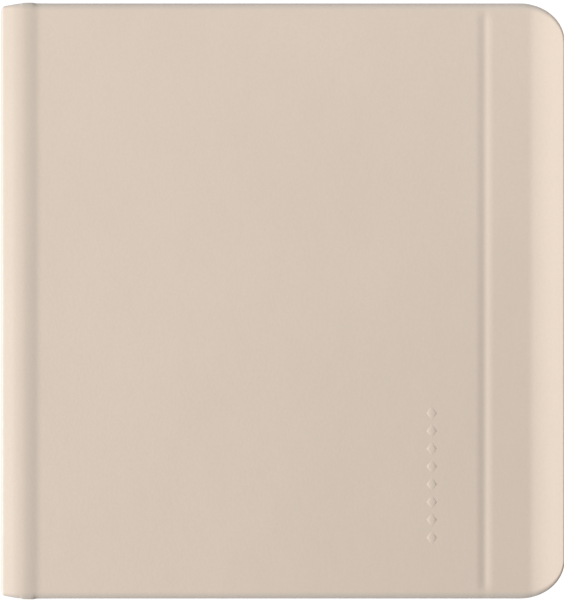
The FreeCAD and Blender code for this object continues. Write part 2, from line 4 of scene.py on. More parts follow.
import bmesh
import bpy
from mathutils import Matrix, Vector


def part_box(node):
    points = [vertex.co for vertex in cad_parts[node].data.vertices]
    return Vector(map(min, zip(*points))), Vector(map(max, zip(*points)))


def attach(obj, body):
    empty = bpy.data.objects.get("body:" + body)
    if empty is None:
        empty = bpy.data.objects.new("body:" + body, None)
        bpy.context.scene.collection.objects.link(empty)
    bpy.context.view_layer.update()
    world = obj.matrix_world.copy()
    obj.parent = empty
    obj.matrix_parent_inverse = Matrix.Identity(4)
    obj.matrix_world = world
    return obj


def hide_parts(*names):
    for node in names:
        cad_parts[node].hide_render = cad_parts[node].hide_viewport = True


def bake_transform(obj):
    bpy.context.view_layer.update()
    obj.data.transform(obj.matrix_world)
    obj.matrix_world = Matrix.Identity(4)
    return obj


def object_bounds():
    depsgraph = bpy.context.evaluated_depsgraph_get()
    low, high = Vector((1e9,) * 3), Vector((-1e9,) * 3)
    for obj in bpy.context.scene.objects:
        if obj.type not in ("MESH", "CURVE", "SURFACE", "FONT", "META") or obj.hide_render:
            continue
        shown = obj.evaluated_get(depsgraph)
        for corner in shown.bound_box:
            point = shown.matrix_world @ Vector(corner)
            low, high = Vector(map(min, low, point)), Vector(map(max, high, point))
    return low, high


# A seven-inch e-reader in its closed sand-coloured folio. The frame is in metres; profiles here are
# written in millimetres and turned into metres when a mesh is made.

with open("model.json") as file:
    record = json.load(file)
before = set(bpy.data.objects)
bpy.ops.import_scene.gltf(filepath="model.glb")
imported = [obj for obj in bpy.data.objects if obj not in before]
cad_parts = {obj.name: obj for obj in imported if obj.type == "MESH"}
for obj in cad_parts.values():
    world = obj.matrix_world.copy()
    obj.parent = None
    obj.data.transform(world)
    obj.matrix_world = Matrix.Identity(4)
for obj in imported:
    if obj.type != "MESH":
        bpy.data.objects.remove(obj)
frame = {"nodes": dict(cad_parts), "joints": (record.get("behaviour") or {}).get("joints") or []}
cad_low, cad_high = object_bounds()
MM = 0.001


# ---- places read from the frame ---------------------------------------------------------------
def box_mm(node):
    low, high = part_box(node)
    return low / MM, high / MM


def joint_mm(name):
    joint = next(j for j in frame["joints"] if j["name"] == name)
    return Vector(joint["pos_m"]) / MM


LEFT = cad_low.x / MM
RIGHT = cad_high.x / MM
TOP = cad_high.y / MM
SPINE_CREST = 0.3
PANEL_Z = box_mm("front_leather")[1].z - SPINE_CREST
PANEL_LOW_Z = box_mm("front_leather")[0].z
COVER_T = PANEL_Z - PANEL_LOW_Z
BACK_T = box_mm("back_board")[1].z
SPINE_END_Z = (joint_mm("spine_fold").z + joint_mm("cover_fold").z) / 2
FOLD_BACK = joint_mm("spine_fold")
GROOVE_X = joint_mm("flap_fold").x
BACK_FOLD_R = FOLD_BACK.x - LEFT
POWER_LOW, POWER_HIGH = box_mm("power_button")
POWER_X = (POWER_LOW.x + POWER_HIGH.x) / 2
POWER_Y = (POWER_LOW.y + POWER_HIGH.y) / 2

# The outline, the wrapped edges and the turned-in hems.
CORNER_R = 12.0
EDGE_REACH = 2.3
EDGE_DROP = 1.65
LOW_BEND_R = 0.45
HEM = 4.0
FLAP_INSET = 0.25
FLAP_SIDE_REACH = 0.75
FLAP_SIDE_DROP = 1.1
BACK_REACH = 1.0
BACK_DROP = 0.8
BACK_HEM_GAP = 0.04

# The spine's end: how far it is pulled in, and over how much of the width.
END_INSET = 1.0
END_INSET_WIDTH = 9.0
END_CORNER_INSET = 0.9
END_CORNER_WIDTH = 1.2

# The folio's thickness from the spine's left side: spine board, bare hinge, then the cover.
SPINE_T = 2.0
HINGE_T = 1.4
HINGE_START = 6.0
HINGE_END = 9.5
COVER_START = 10.4

# The groove is level at the cover's very ends, for GROOVE_FLAT of GROOVE_FADE, and then deepens
# over GROOVE_FADE.
GROOVE_FADE = 4.0
GROOVE_FLAT = 0.3

# An edge counts as turned, and gets painted shade, from this tilt and over this many degrees.
TURNED_FROM = 14.0
TURNED_OVER = 30.0

# The linings, with the (out, up, edge shade) steps of their curled edge; the edge shade is the painted
# shade mark, which the lining's finish does not use.
LINING_T = 0.16
LINING_INSET = 2.2
LINING_CURL = [(0.12, 0.03, 0.5), (0.2, 0.1, 1.0), (0.22, LINING_T + 0.05, 1.0)]
LINING_BEND = 1.2

# The hole for the power button: a square patch of the back, and the hole's rounded edge.
HOLE_PATCH = 7.2
HOLE_CELLS = 8
HOLE_GAP = 0.7
HOLE_ROUNDING = 0.4

# The mark: lozenges in a row, each a stack of (scale, lift) rings.
MARK_X = GROOVE_X - 15.2
MARK_Y = -49.0
MARK_L = 40.0
MARK_COUNT = 8
MARK_HALF_W = 1.5
MARK_FILL = 0.42
MARK_RINGS = [(1.0, -0.02), (0.85, 0.06), (0.6, 0.1)]


# ---- the cover's outer face across its width -----------------------------------------------------
# Each knot is (distance, tilt in degrees). A positive tilt makes the face rise to the right. The
# distance is from the right side for the rise, from the left side for the spine, and from the
# groove's middle for the groove, whose tilts bring it back to about the panel's height.
RISE_TILTS = [(10.1, 0.0), (8.7, 8.0), (7.0, 11.2), (5.3, 14.0), (3.5, 15.6), (0.0, 15.6)]
SPINE_TILTS = [
    (12.2, 0.0), (11.15, -2.5), (10.3, -7.2), (9.2, -6.7), (7.5, -3.0), (6.5, 1.0),
    (4.95, 4.5), (3.5, 9.0), (1.2, 10.0),
]
GROOVE_TILTS = [(2.26, 0.0), (0.5, 9.2), (-0.9, -6.6), (-1.8, -6.6), (-3.0, 0.0)]
SPINE_EDGE_R = SPINE_TILTS[-1][0] / (1 - math.sin(math.radians(SPINE_TILTS[-1][1])))
STRIP_X0 = GROOVE_X + GROOVE_TILTS[-1][0]
STRIP_X1 = GROOVE_X + GROOVE_TILTS[0][0]


def between(knots, x):
    """The value at x of a line through knots, which are in order of falling x."""
    if x >= knots[0][0]:
        return knots[0][1]
    for (x0, v0), (x1, v1) in zip(knots, knots[1:]):
        if x >= x1:
            return v0 + (v1 - v0) * (x0 - x) / (x0 - x1)
    return knots[-1][1]


def quarter(turns):
    """(sine, cosine) pairs in even steps from 0 to 90 degrees."""
    angles = [math.pi / 2 * i / turns for i in range(turns + 1)]
    return [(math.sin(a), math.cos(a)) for a in angles]


def climb(tilt, start, end):
    """The height gained from start to end along a face with that tilt."""
    step = 0.1
    gained = 0.0
    at = start
    while at < end:
        width = min(step, end - at)
        gained += width * math.tan(math.radians(tilt(at + width / 2)))
        at += width
    return gained


def flap_tilt(x):
    return between(RISE_TILTS, RIGHT - x)


def flap_z(x):
    """The height of the flap's outer face, which rises over the reader's grip."""
    return PANEL_Z + climb(flap_tilt, RIGHT - RISE_TILTS[0][0], x)


def spine_profile():
    """Columns (x, z, tilt) from the panel's left end over the spine's crest and down its side."""
    start = SPINE_TILTS[0][0]
    end = SPINE_TILTS[-1][0]
    steps = 30
    columns = []
    z = PANEL_Z
    width = (start - end) / steps
    for i in range(steps + 1):
        away = start - i * width
        columns.append((LEFT + away, z, between(SPINE_TILTS, away)))
        z -= width * math.tan(math.radians(between(SPINE_TILTS, away - width / 2)))
    x, z, tilt = columns[-1]
    centre_z = z - SPINE_EDGE_R * math.cos(math.radians(tilt))
    turns = 12
    for i in range(1, turns + 1):
        angle = tilt + (90 - tilt) * i / turns
        a = math.radians(angle)
        x = LEFT + SPINE_EDGE_R * (1 - math.sin(a))
        columns.append((x, centre_z + SPINE_EDGE_R * math.cos(a), angle))
    drops = 6
    for i in range(1, drops + 1):
        columns.append((LEFT, centre_z + (SPINE_END_Z - centre_z) * i / drops, 90.0))
    return columns


def end_inset(away):
    """How far the spine's end is pulled in, by distance from its left side."""
    share = max(0.0, 1 - away / END_INSET_WIDTH)
    corner = max(0.0, 1 - away / END_CORNER_WIDTH)
    return END_INSET * share ** 1.6 + END_CORNER_INSET * corner ** 2


def groove_depth(x):
    """The pressed groove: a long bend down on its left, a shorter and steeper one up on its right."""
    if x <= STRIP_X0 or x >= STRIP_X1:
        return 0.0
    return -climb(lambda at: between(GROOVE_TILTS, at - GROOVE_X), STRIP_X0, x)


def groove_fade(y):
    """The groove grows shallow towards the cover's ends."""
    end = min(1.0, max(0.0, (TOP - abs(y)) / GROOVE_FADE - GROOVE_FLAT))
    return end * end * (3 - 2 * end)


# ---- mesh making ----------------------------------------------------------------------------------
class Skin:
    """Points and faces of one sheet, with a mark on each point for how near the rim it is, which sets how
    much painted shade it gets.
    """

    def __init__(self):
        self.points = []
        self.faces = []
        self.rim = []

    def add(self, point, rim=0.0):
        self.points.append(tuple(c * MM for c in point))
        self.rim.append(rim)
        return len(self.points) - 1

    def place(self, index):
        """A point in millimetres."""
        return [c / MM for c in self.points[index]]

    def strip(self, first, second, closed=False):
        """Joins two rows of points with faces."""
        count = len(first)
        last = count if closed else count - 1
        for i in range(last):
            j = (i + 1) % count
            self.faces.append((first[i], first[j], second[j], second[i]))

    def weave(self, rows, closed=False):
        """Joins each row of points with the next."""
        for first, second in zip(rows, rows[1:]):
            self.strip(first, second, closed)

    def build(self, name, material, facing):
        """Makes the object. Its faces agree on a side, and the widest of them faces that way."""
        mesh = bpy.data.meshes.new(name)
        mesh.from_pydata(self.points, [], self.faces)
        turned = bmesh.new()
        turned.from_mesh(mesh)
        bmesh.ops.recalc_face_normals(turned, faces=turned.faces)
        turned.to_mesh(mesh)
        turned.free()
        mesh.update()
        widest = max(mesh.polygons, key=lambda face: face.area)
        if widest.normal.dot(Vector(facing)) < 0:
            mesh.flip_normals()
        # The per-point mark for painted edge shade, which the leather finish reads.
        mark = mesh.attributes.new("rim", "FLOAT", "POINT")
        mark.data.foreach_set("value", self.rim)
        mesh.shade_smooth()
        mesh.materials.append(material)
        piece = bpy.data.objects.new(name, mesh)
        bpy.context.scene.collection.objects.link(piece)
        return piece


def spread(count):
    """Even steps from -1 to 1, packed closer near both ends."""
    return [math.sin(math.pi / 2 * (2 * i / (count - 1) - 1)) for i in range(count)]


ROWS = spread(49)


def hem_profile(reach, drop, thick, hem):
    """(out, down, edge shade) steps over a wrapped edge: a bend, a side, a lower bend and a turned-in
    hem. The edge shade is painted shade that darkens the bend and the side.
    out is counted from the bend's start, and the edge's outermost point is at out = reach."""
    steps = []
    bend = 10
    for i, (sine, cosine) in enumerate(quarter(bend)):
        if i > 0:
            steps.append((reach * sine, drop * (1 - cosine), i / bend))
    low_r = min(LOW_BEND_R, (thick - drop) * 0.6)
    for i, (sine, cosine) in enumerate(quarter(4)):
        steps.append((reach - low_r * (1 - cosine), thick - low_r * (1 - sine), 1.0 - 0.2 * i))
    for share in (0.3, 1.0):
        steps.append((reach - low_r - share * hem, thick, 0.0))
    return steps


def add_hem(skin, boundary, hems):
    """Grows rings outward from a boundary. Each boundary point is (index, place, outward, down)."""
    before = [b[0] for b in boundary]
    for k in range(len(hems[0])):
        row = []
        for (_, place, outward, down), profile in zip(boundary, hems):
            out, drop, rim = profile[k]
            point = [place[a] + outward[a] * out + down[a] * drop for a in range(3)]
            row.append(skin.add(point, rim))
        skin.strip(before, row)
        before = row


def three_edges(grid, columns):
    """The edge points (index, column, side) along the top end, the right side and the bottom end."""
    for line, column in zip(grid, columns):
        yield line[-1], column, 1
    for index in grid[-1][-2:0:-1]:
        yield index, columns[-1], 1
    for line, column in zip(grid[::-1], columns[::-1]):
        yield line[0], column, -1


def down_of(tilt):
    """The direction into the folio from a face with that tilt."""
    a = math.radians(tilt)
    return (math.sin(a), 0.0, -math.cos(a))


def spine_thickness(away):
    """The folio's thickness by distance from the spine's left side: board, hinge, then cover."""
    if away < HINGE_START:
        return SPINE_T
    if away < HINGE_END:
        return HINGE_T
    share = min(1.0, (away - HINGE_END) / (COVER_START - HINGE_END))
    return HINGE_T + (COVER_T - HINGE_T) * share


def ruled_skin(name, columns, material, facing):
    """A skin with one profile across and straight lines along Y. Columns are
    (x, z, tilt, half length, bend reach, bend drop, thickness)."""
    skin = Skin()
    grid = []
    for x, z, tilt, half, reach, drop, thick in columns:
        depth = groove_depth(x)
        # Faces tilted past TURNED_FROM get painted shade as turned edges.
        turned = min(1.0, max(0.0, (tilt - TURNED_FROM) / TURNED_OVER))
        line = []
        for v in ROWS:
            y = v * (half - reach)
            line.append(skin.add((x, y, z - depth * groove_fade(y)), turned))
        grid.append(line)
    skin.weave(grid)
    for row, side in ((-1, 1), (0, -1)):
        boundary = []
        hems = []
        for line, (_, _, tilt, _, reach, drop, thick) in zip(grid, columns):
            boundary.append((line[row], skin.place(line[row]), (0.0, side, 0.0), down_of(tilt)))
            hems.append(hem_profile(reach, drop, thick, HEM))
        add_hem(skin, boundary, hems)
    return skin.build(name, material, facing)


def front_columns():
    """The spine's columns, then level ones over the panel as far as the groove."""
    columns = []
    for x, z, tilt in spine_profile()[::-1]:
        away = x - LEFT
        reach = EDGE_REACH * min(1.0, 0.3 + 0.7 * away / 8.0)
        thick = spine_thickness(away)
        drop = min(EDGE_DROP, 0.62 * thick)
        columns.append((x, z, tilt, TOP - end_inset(away), reach, drop, thick))
    x0 = columns[-1][0]
    steps = 30
    for i in range(1, steps + 1):
        x = x0 + (STRIP_X0 - x0) * i / steps
        columns.append((x, PANEL_Z, 0.0, TOP, EDGE_REACH, EDGE_DROP, COVER_T))
    return columns


def groove_columns():
    """Close columns across the pressed groove, whose depth ruled_skin adds."""
    columns = []
    steps = 26
    for i in range(steps + 1):
        x = STRIP_X0 + (STRIP_X1 - STRIP_X0) * i / steps
        columns.append((x, PANEL_Z, 0.0, TOP, EDGE_REACH, EDGE_DROP, COVER_T))
    return columns


def flap_skin(name, material):
    """The flap: flat beside the groove, rising over the grip, with two rounded corners."""
    skin = Skin()
    centre_x = RIGHT - FLAP_INSET - CORNER_R
    centre_y = TOP - CORNER_R
    columns = []
    flat_steps = 8
    for i in range(flat_steps):
        x = STRIP_X1 + (centre_x - STRIP_X1) * i / flat_steps
        columns.append((x, TOP - EDGE_REACH, (0.0, 1.0), EDGE_REACH, EDGE_DROP))
    for sine, cosine in quarter(26):
        keep = cosine ** 2
        reach = FLAP_SIDE_REACH + (EDGE_REACH - FLAP_SIDE_REACH) * keep
        drop = FLAP_SIDE_DROP + (EDGE_DROP - FLAP_SIDE_DROP) * keep
        x = centre_x + (CORNER_R - reach) * sine
        y = centre_y + (CORNER_R - reach) * cosine
        columns.append((x, y, (sine, cosine), reach, drop))
    grid = []
    for x, half, _, _, _ in columns:
        grid.append([skin.add((x, v * half, flap_z(x))) for v in ROWS])
    skin.weave(grid)
    boundary = []
    hems = []
    for index, (_, _, direction, reach, drop), side in three_edges(grid, columns):
        place = skin.place(index)
        slope = math.tan(math.radians(flap_tilt(place[0])))
        outward = (direction[0], side * direction[1], slope * direction[0])
        boundary.append((index, place, outward, (0.0, 0.0, -1.0)))
        # Painted edge shade, weaker where the flap's side is narrow.
        shade = 0.35 + 0.65 * (reach - FLAP_SIDE_REACH) / (EDGE_REACH - FLAP_SIDE_REACH)
        profile = hem_profile(reach, drop, COVER_T, HEM)
        hems.append([(out, fall, rim * shade) for out, fall, rim in profile])
    add_hem(skin, boundary, hems)
    return skin.build(name, material, (0, 0, 1))


def back_skin(name, material):
    """The back face with its rounded corners and power button hole, and the spine's lower side."""
    skin = Skin()
    columns = back_columns()
    lines = hole_lines(POWER_X)
    hole_rows = hole_lines(POWER_Y)
    inner_half = TOP - BACK_REACH
    shares = [v for v in ROWS if abs(v * inner_half - POWER_Y) > HOLE_PATCH + 1.0]
    shares = sorted(shares + [y / inner_half for y in hole_rows])
    grid = []
    for x, z, _, half, _ in columns:
        grid.append([skin.add((x, v * (half - BACK_REACH), z)) for v in shares])
    i0 = min(range(len(columns)), key=lambda i: abs(columns[i][0] - lines[0]) + columns[i][2])
    j0 = min(range(len(shares)), key=lambda j: abs(shares[j] * inner_half - hole_rows[0]))
    for i in range(len(grid) - 1):
        for j in range(len(shares) - 1):
            in_patch = i0 <= i < i0 + HOLE_CELLS and j0 <= j < j0 + HOLE_CELLS
            if not in_patch:
                skin.faces.append((grid[i][j], grid[i][j + 1], grid[i + 1][j + 1], grid[i + 1][j]))
    add_hole(skin, grid, i0, j0)
    boundary = []
    hems = []
    for index, (_, _, tilt, _, direction), side in three_edges(grid, columns):
        inward = (math.sin(math.radians(tilt)), 0.0, math.cos(math.radians(tilt)))
        outward = (direction[0], side * direction[1], 0.0)
        boundary.append((index, skin.place(index), outward, inward))
        hems.append(hem_profile(BACK_REACH, BACK_DROP, BACK_T + BACK_HEM_GAP, HEM))
    add_hem(skin, boundary, hems)
    return skin.build(name, material, (0, 0, -1))


def hole_lines(middle):
    """Even lines across the square patch round the power button hole."""
    return [middle - HOLE_PATCH + 2 * HOLE_PATCH * i / HOLE_CELLS for i in range(HOLE_CELLS + 1)]


def back_columns():
    """Columns (x, z, tilt, half length, outward) down the spine's lower side and along the back."""
    centre_x = RIGHT - CORNER_R
    centre_y = TOP - CORNER_R
    across = (0.0, 1.0)
    columns = []
    rises = 8
    for i in range(rises):
        z = SPINE_END_Z + (FOLD_BACK.z - SPINE_END_Z) * i / rises
        columns.append((LEFT, z, 90.0, TOP - end_inset(0.0), across))
    turns = 10
    for i in range(turns + 1):
        angle = 90.0 - 90.0 * i / turns
        a = math.radians(angle)
        x = LEFT + BACK_FOLD_R * (1 - math.sin(a))
        z = BACK_FOLD_R * (1 - math.cos(a))
        columns.append((x, z, angle, TOP - end_inset(x - LEFT), across))
    lines = hole_lines(POWER_X)
    flat = 36
    x0 = columns[-1][0]
    for i in range(1, flat + 1):
        x = x0 + (lines[0] - x0) * i / flat
        columns.append((x, 0.0, 0.0, TOP - end_inset(x - LEFT), across))
    for x in lines[1:]:
        columns.append((x, 0.0, 0.0, TOP, across))
    columns = [c for c in columns if c[0] < centre_x - 0.2]
    for sine, cosine in quarter(18):
        x = centre_x + (CORNER_R - BACK_REACH) * sine
        y = centre_y + (CORNER_R - BACK_REACH) * cosine
        columns.append((x, 0.0, 0.0, y + BACK_REACH, (sine, cosine)))
    return columns


def add_hole(skin, grid, i0, j0):
    """Fills a square patch of the back with rings that lead to the round power button hole."""
    cells = HOLE_CELLS
    radius = (POWER_HIGH.x - POWER_LOW.x) / 2 + HOLE_GAP
    rim_r = radius + HOLE_ROUNDING
    before = [grid[i0 + k][j0] for k in range(cells)]
    before += [grid[i0 + cells][j0 + k] for k in range(cells)]
    before += [grid[i0 + cells - k][j0 + cells] for k in range(cells)]
    before += [grid[i0][j0 + cells - k] for k in range(cells)]
    rings = [before]
    # The third value of each step is painted shade, darkest down the hole's rounded edge.
    steps = [(rim_r + 0.3, 0.0, 0.0), (rim_r, 0.0, 0.2)]
    for i, (sine, cosine) in enumerate(quarter(5)):
        if i > 0:
            steps.append((radius + HOLE_ROUNDING * (1 - sine), HOLE_ROUNDING * (1 - cosine), 0.2 * i))
    steps.append((radius, BACK_T, 1.0))
    for r, z, rim in steps:
        row = []
        for index in before:
            x, y, _ = skin.place(index)
            x -= POWER_X
            y -= POWER_Y
            length = math.hypot(x, y)
            row.append(skin.add((POWER_X + r * x / length, POWER_Y + r * y / length, z), rim))
        rings.append(row)
    skin.weave(rings, closed=True)


def front_mark(name, material):
    """A generic mark by the groove: a row of small raised lozenges."""
    skin = Skin()
    pitch = MARK_L / MARK_COUNT
    half_l = MARK_FILL * pitch
    corners = ((MARK_HALF_W, 0.0), (0.0, half_l), (-MARK_HALF_W, 0.0), (0.0, -half_l))
    for i in range(MARK_COUNT):
        y = MARK_Y + (i - (MARK_COUNT - 1) / 2) * pitch
        rings = []
        for scale, lift in MARK_RINGS:
            z = PANEL_Z + lift
            rings.append([skin.add((MARK_X + scale * a, y + scale * b, z)) for a, b in corners])
        skin.weave(rings, closed=True)
        skin.faces.append(tuple(rings[-1]))
    return skin.build(name, material, (0, 0, 1))


# ---- lining sheets -----------------------------------------------------------------------------------
def lining_sheet(name, columns, material, facing):
    """A thin sheet on the folio's inside. Columns are (x, z, tilt, half length); its ends curl in."""
    skin = Skin()
    grid = []
    for x, z, _, half in columns:
        grid.append([skin.add((x, v * half, z)) for v in ROWS])
    skin.weave(grid)
    for row, side in ((-1, 1), (0, -1)):
        boundary = []
        for line, column in zip(grid, columns):
            up = [-c for c in down_of(column[2])]
            boundary.append((line[row], skin.place(line[row]), (0.0, side, 0.0), up))
        add_hem(skin, boundary, [LINING_CURL] * len(boundary))
    return skin.build(name, material, facing)


def inner_profile():
    """The lining's columns from the spine's middle up and over to the cover's inner face."""
    columns = []
    for x, z, tilt in spine_profile()[::-1]:
        away = x - LEFT
        depth = spine_thickness(away) + LINING_T
        down = down_of(tilt)
        half = TOP - LINING_INSET - end_inset(away)
        columns.append((x + down[0] * depth, z + down[2] * depth, tilt, half))
    wall = [c for c in columns if c[2] > 89.0]
    corner_x = wall[-1][0]
    roof = [c for c in columns if c[2] <= 12.0 and c[0] > corner_x + LINING_BEND]
    start_z = roof[0][1] - LINING_BEND
    half = wall[-1][3]
    bend = []
    turns = 6
    for i, (sine, cosine) in enumerate(quarter(turns)):
        x = corner_x + (roof[0][0] - corner_x) * (1 - cosine)
        z = start_z + (roof[0][1] - start_z) * sine
        bend.append((x, z, 90.0 - 80.0 * i / turns, half))
    wall = [c for c in wall if c[1] < start_z - 0.1]
    return wall + bend + roof[1:]


def back_lining_columns():
    """The lining's columns from the tray's edge, round the back fold and up to the spine's middle."""
    floor_z = BACK_T + LINING_T
    wall_x = LEFT + spine_thickness(0.0) + LINING_T
    bend_r = 1.5
    columns = []
    flat = 6
    x0 = box_mm("tray_shell")[0].x + 0.1
    for i in range(flat):
        x = x0 + (wall_x + bend_r - x0) * i / flat
        columns.append((x, floor_z, 180.0, TOP - LINING_INSET - end_inset(x - LEFT)))
    turns = 8
    half = TOP - LINING_INSET - end_inset(0.0)
    for i in range(turns + 1):
        a = math.pi / 2 * i / turns
        x = wall_x + bend_r * (1 - math.sin(a))
        z = floor_z + bend_r * (1 - math.cos(a))
        columns.append((x, z, 180.0 - math.degrees(a), half))
    rises = 6
    z0 = columns[-1][1]
    for i in range(1, rises + 1):
        columns.append((wall_x, z0 + (SPINE_END_Z - z0) * i / rises, 90.0, half))
    return columns


def front_lining_columns():
    """The inner profile's columns, then level ones under the panel as far as the groove."""
    columns = inner_profile()
    x0 = columns[-1][0]
    steps = 24
    for i in range(1, steps + 1):
        x = x0 + (STRIP_X0 - x0) * i / steps
        columns.append((x, PANEL_LOW_Z - LINING_T, 0.0, TOP - LINING_INSET))
    return columns


def flap_lining_sheet(name, material, x0):
    """The lining inside the flap, with rounded corners on the right."""
    skin = Skin()
    radius = CORNER_R - LINING_INSET
    centre_x = RIGHT - CORNER_R
    centre_y = TOP - CORNER_R
    columns = []
    flat = 8
    for i in range(flat):
        x = x0 + (centre_x - x0) * i / flat
        columns.append((x, TOP - LINING_INSET, (0.0, 1.0)))
    for sine, cosine in quarter(16):
        columns.append((centre_x + radius * sine, centre_y + radius * cosine, (sine, cosine)))
    grid = []
    for x, half, _ in columns:
        grid.append([skin.add((x, v * half, flap_z(x) - COVER_T - LINING_T)) for v in ROWS])
    skin.weave(grid)
    boundary = []
    for index, (_, _, direction), side in three_edges(grid, columns):
        outward = (direction[0], side * direction[1], 0.0)
        boundary.append((index, skin.place(index), outward, (0.0, 0.0, 1.0)))
    add_hem(skin, boundary, [LINING_CURL] * len(boundary))
    return skin.build(name, material, (0, 0, -1))


# ---- materials -----------------------------------------------------------------------------------------
class Finish:
    """A material under construction, with short ways to add and join nodes."""

    def __init__(self, name):
        self.material = bpy.data.materials.new(name)
        self.material.use_nodes = True
        self.nodes = self.material.node_tree.nodes
        self.links = self.material.node_tree.links
        self.shader = self.nodes["Principled BSDF"]
        coordinates = self.nodes.new("ShaderNodeTexCoord")
        self.place = coordinates.outputs["Object"]

    def set(self, **values):
        for name, value in values.items():
            self.shader.inputs[name.replace("_", " ")].default_value = value

    def join(self, source, target):
        self.links.new(source, target)

    def noise(self, per_metre, detail=3.0, roughness=0.5, stretch=(1, 1, 1)):
        mapping = self.nodes.new("ShaderNodeMapping")
        mapping.inputs["Scale"].default_value = stretch
        self.join(self.place, mapping.inputs["Vector"])
        node = self.nodes.new("ShaderNodeTexNoise")
        node.inputs["Scale"].default_value = per_metre
        node.inputs["Detail"].default_value = detail
        node.inputs["Roughness"].default_value = roughness
        self.join(mapping.outputs["Vector"], node.inputs["Vector"])
        return node.outputs["Fac"]

    def cells(self, per_metre, feature="SMOOTH_F1"):
        node = self.nodes.new("ShaderNodeTexVoronoi")
        node.feature = feature
        node.inputs["Scale"].default_value = per_metre
        self.join(self.place, node.inputs["Vector"])
        return node.outputs["Distance"]

    def attribute(self, name):
        node = self.nodes.new("ShaderNodeAttribute")
        node.attribute_name = name
        return node.outputs["Fac"]

    def span(self, value, low, high, to_low=0.0, to_high=1.0):
        node = self.nodes.new("ShaderNodeMapRange")
        self.join(value, node.inputs["Value"])
        ends = {"From Min": low, "From Max": high, "To Min": to_low, "To Max": to_high}
        for name, number in ends.items():
            node.inputs[name].default_value = number
        return node.outputs["Result"]

    def mix(self, factor, first, second):
        """A blend of two colours. Sockets 6 and 7 in and 2 out are the mix node's colour sockets."""
        node = self.nodes.new("ShaderNodeMix")
        node.data_type = "RGBA"
        self.join(factor, node.inputs["Factor"])
        for socket, value in ((node.inputs[6], first), (node.inputs[7], second)):
            if isinstance(value, tuple):
                socket.default_value = (*value, 1.0)
            else:
                self.join(value, socket)
        return node.outputs[2]

    def colour(self, value):
        self.join(value, self.shader.inputs["Base Color"])

    def roughness(self, value):
        self.join(value, self.shader.inputs["Roughness"])

    def bumps(self, layers):
        """Stacks bump layers, each (height, strength, depth in metres)."""
        normal = None
        for height, strength, depth in layers:
            node = self.nodes.new("ShaderNodeBump")
            node.inputs["Strength"].default_value = strength
            node.inputs["Distance"].default_value = depth
            self.join(height, node.inputs["Height"])
            if normal is not None:
                self.join(normal, node.inputs["Normal"])
            normal = node.outputs["Normal"]
        self.join(normal, self.shader.inputs["Normal"])


LEATHER = (0.47, 0.396, 0.332)
LEATHER_SHADE = (0.415, 0.348, 0.295)
# Painted shade for the turned edges: a greyer, darker leather colour.
LEATHER_EDGE_SHADE = (0.36, 0.328, 0.298)


def leather(name):
    """Coated sand leather: fine pebble grain, soft mottling, and painted shade on the turned edges."""
    finish = Finish(name)
    pebble = finish.cells(1500.0)
    pores = finish.noise(5200.0, 2.0)
    clouds = finish.noise(28.0, 3.0, 0.55)
    speck = finish.noise(900.0, 4.0, 0.6)
    tone = finish.mix(finish.span(clouds, 0.35, 0.65, 0.0, 0.16), LEATHER, LEATHER_SHADE)
    tone = finish.mix(finish.span(speck, 0.4, 0.7, 0.0, 0.14), tone, LEATHER_SHADE)
    valley = finish.span(pebble, 0.25, 0.6, 0.0, 0.12)
    tone = finish.mix(valley, tone, LEATHER_SHADE)
    # Painted shade: each point's edge mark mixes the leather towards the darker edge colour.
    rim = finish.attribute("rim")
    tone = finish.mix(finish.span(rim, 0.0, 0.6, 0.0, 0.8), tone, LEATHER_EDGE_SHADE)
    finish.colour(tone)
    finish.roughness(finish.span(speck, 0.3, 0.7, 0.5, 0.6))
    finish.set(Specular_IOR_Level=0.35, Sheen_Weight=0.08, Sheen_Roughness=0.5)
    finish.bumps([(clouds, 0.25, 0.0008), (pebble, 0.25, 0.00005), (pores, 0.2, 0.00002)])
    return finish.material


def microfibre(name, light, dark):
    """A brushed lining: short nap in one direction with faint brush marks."""
    finish = Finish(name)
    nap = finish.noise(2600.0, 4.0, 0.65, (1.0, 0.35, 1.0))
    brush = finish.noise(55.0, 4.0, 0.6, (1.0, 0.25, 1.0))
    tone = finish.mix(finish.span(nap, 0.3, 0.7), dark, light)
    tone = finish.mix(finish.span(brush, 0.4, 0.6, 0.0, 0.35), tone, dark)
    finish.colour(tone)
    finish.roughness(finish.span(nap, 0.2, 0.8, 0.85, 1.0))
    finish.set(Specular_IOR_Level=0.15, Sheen_Weight=0.35, Sheen_Roughness=0.6)
    finish.bumps([(brush, 0.2, 0.0004), (nap, 0.5, 0.00012)])
    return finish.material


def plastic(name, light, dark, rough, texture=3000.0, depth=0.00003):
    """Moulded plastic with a spark-eroded texture and slightly uneven tone."""
    finish = Finish(name)
    grain = finish.noise(texture, 3.0, 0.6)
    patches = finish.noise(60.0, 3.0)
    finish.colour(finish.mix(finish.span(patches, 0.35, 0.65), dark, light))
    finish.roughness(finish.span(grain, 0.3, 0.7, rough - 0.07, rough + 0.07))
    finish.set(Specular_IOR_Level=0.45)
    finish.bumps([(grain, 0.4, depth)])
    return finish.material


def metal(name, light, dark, rough, stretch):
    """Rolled or brushed metal with fine lines."""
    finish = Finish(name)
    lines = finish.noise(1400.0, 4.0, 0.6, stretch)
    stain = finish.noise(120.0, 3.0)
    finish.colour(finish.mix(finish.span(stain, 0.35, 0.65), dark, light))
    finish.roughness(finish.span(lines, 0.3, 0.7, rough - 0.08, rough + 0.1))
    finish.set(Metallic=1.0)
    finish.bumps([(lines, 0.25, 0.00002)])
    return finish.material


def eink(name):
    """The display's off state: warm grey with the paper-like speckle of its capsules."""
    finish = Finish(name)
    capsules = finish.cells(9000.0, "F1")
    wide = finish.noise(45.0, 3.0)
    tone = finish.mix(finish.span(capsules, 0.1, 0.6), (0.52, 0.52, 0.50), (0.46, 0.46, 0.445))
    finish.colour(finish.mix(finish.span(wide, 0.3, 0.7, 0.0, 0.2), tone, (0.5, 0.505, 0.5)))
    finish.roughness(finish.span(capsules, 0.1, 0.6, 0.7, 0.85))
    finish.bumps([(capsules, 0.2, 0.00001)])
    return finish.material


